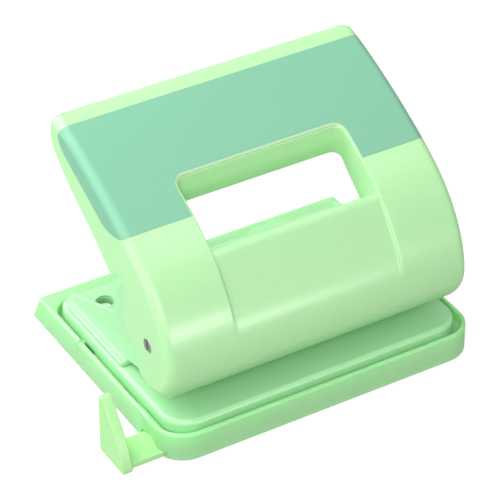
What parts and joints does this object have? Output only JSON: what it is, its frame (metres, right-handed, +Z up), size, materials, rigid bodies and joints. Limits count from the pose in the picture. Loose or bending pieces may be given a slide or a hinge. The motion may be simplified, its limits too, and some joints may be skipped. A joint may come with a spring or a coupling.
{
  "type": "hole punch",
  "caption": "Desk hole punch for paper, with a broad curved lever handle with a finger window, a framed base, a hinged chip tray and a sliding side guide for the sheet's edge.",
  "frame": {"origin": "on the table, on the underside of the chip tray, midway between the two long ends and midway between the tray's front wall and the top of its rear wall", "axes": "+X along the length, away from the side with the paper guide's fin; +Y to the back, so the sheet goes in from -Y towards +Y; +Z up"},
  "size_m": [0.136, 0.0976, 0.0913],
  "materials": {
    "handle_plastic": "smooth satin plastic, pale mint green",
    "tray_plastic": "smooth satin plastic, pale mint green",
    "grip_plastic": "fine matt plastic, muted teal green",
    "guide_plastic": "smooth satin plastic, light green",
    "painted_steel": "glossy powder paint, mint green",
    "bare_steel": "zinc-plated, satin",
    "spring_steel": "drawn wire, bright"
  },
  "bodies": {
    "base": {"base_plate": "painted_steel", "frame_bracket": "painted_steel", "guide_bridge": "painted_steel", "guide_bush_left": "bare_steel", "guide_bush_right": "bare_steel", "frame_rivet_front_left": "bare_steel", "frame_rivet_front_right": "bare_steel", "frame_rivet_rear_left": "bare_steel", "frame_rivet_rear_right": "bare_steel", "pivot_axle": "bare_steel", "axle_clip_left": "bare_steel", "axle_clip_right": "bare_steel", "rear_frame": "tray_plastic", "pin_spring_left": "spring_steel", "pin_spring_right": "spring_steel"},
    "handle": {"handle_shell": "handle_plastic", "grip_inlay": "grip_plastic", "press_lever": "bare_steel", "lever_screw_left": "bare_steel", "lever_screw_right": "bare_steel"},
    "pin_left": {"punch_pin_left": "bare_steel", "spring_retainer_left": "bare_steel"},
    "pin_right": {"punch_pin_right": "bare_steel", "spring_retainer_right": "bare_steel"},
    "tray": {"chip_tray": "tray_plastic"},
    "guide": {"paper_guide": "guide_plastic"}
  },
  "joints": [
    {"name": "handle_pivot", "type": "hinge", "parent": "base", "child": "handle", "pos_m": [0, -0.0275, 0.0374], "axis": [-1, 0, 0], "range_deg": [0, 42], "stiffness_Nm_per_rad": 0.3, "springref_deg": -22.92},
    {"name": "pin_left_slide", "type": "slide", "parent": "base", "child": "pin_left", "axis": [0, 0, -1], "range_m": [0, 0.0077], "deforming": ["pin_spring_left"]},
    {"name": "pin_right_slide", "type": "slide", "parent": "base", "child": "pin_right", "axis": [0, 0, -1], "range_m": [0, 0.0077], "deforming": ["pin_spring_right"]},
    {"name": "tray_hinge", "type": "hinge", "parent": "base", "child": "tray", "pos_m": [0, 0.015, 0.0024], "axis": [1, 0, 0], "range_deg": [0, 35]},
    {"name": "guide_slide", "type": "slide", "parent": "tray", "child": "guide", "axis": [-1, 0, 0], "range_m": [-0.0095, 0.0765]}
  ],
  "couplings": [
    {"joint": "pin_left_slide", "follows": "handle_pivot", "m_per_rad": 0.01046},
    {"joint": "pin_right_slide", "follows": "handle_pivot", "m_per_rad": 0.01046}
  ]
}
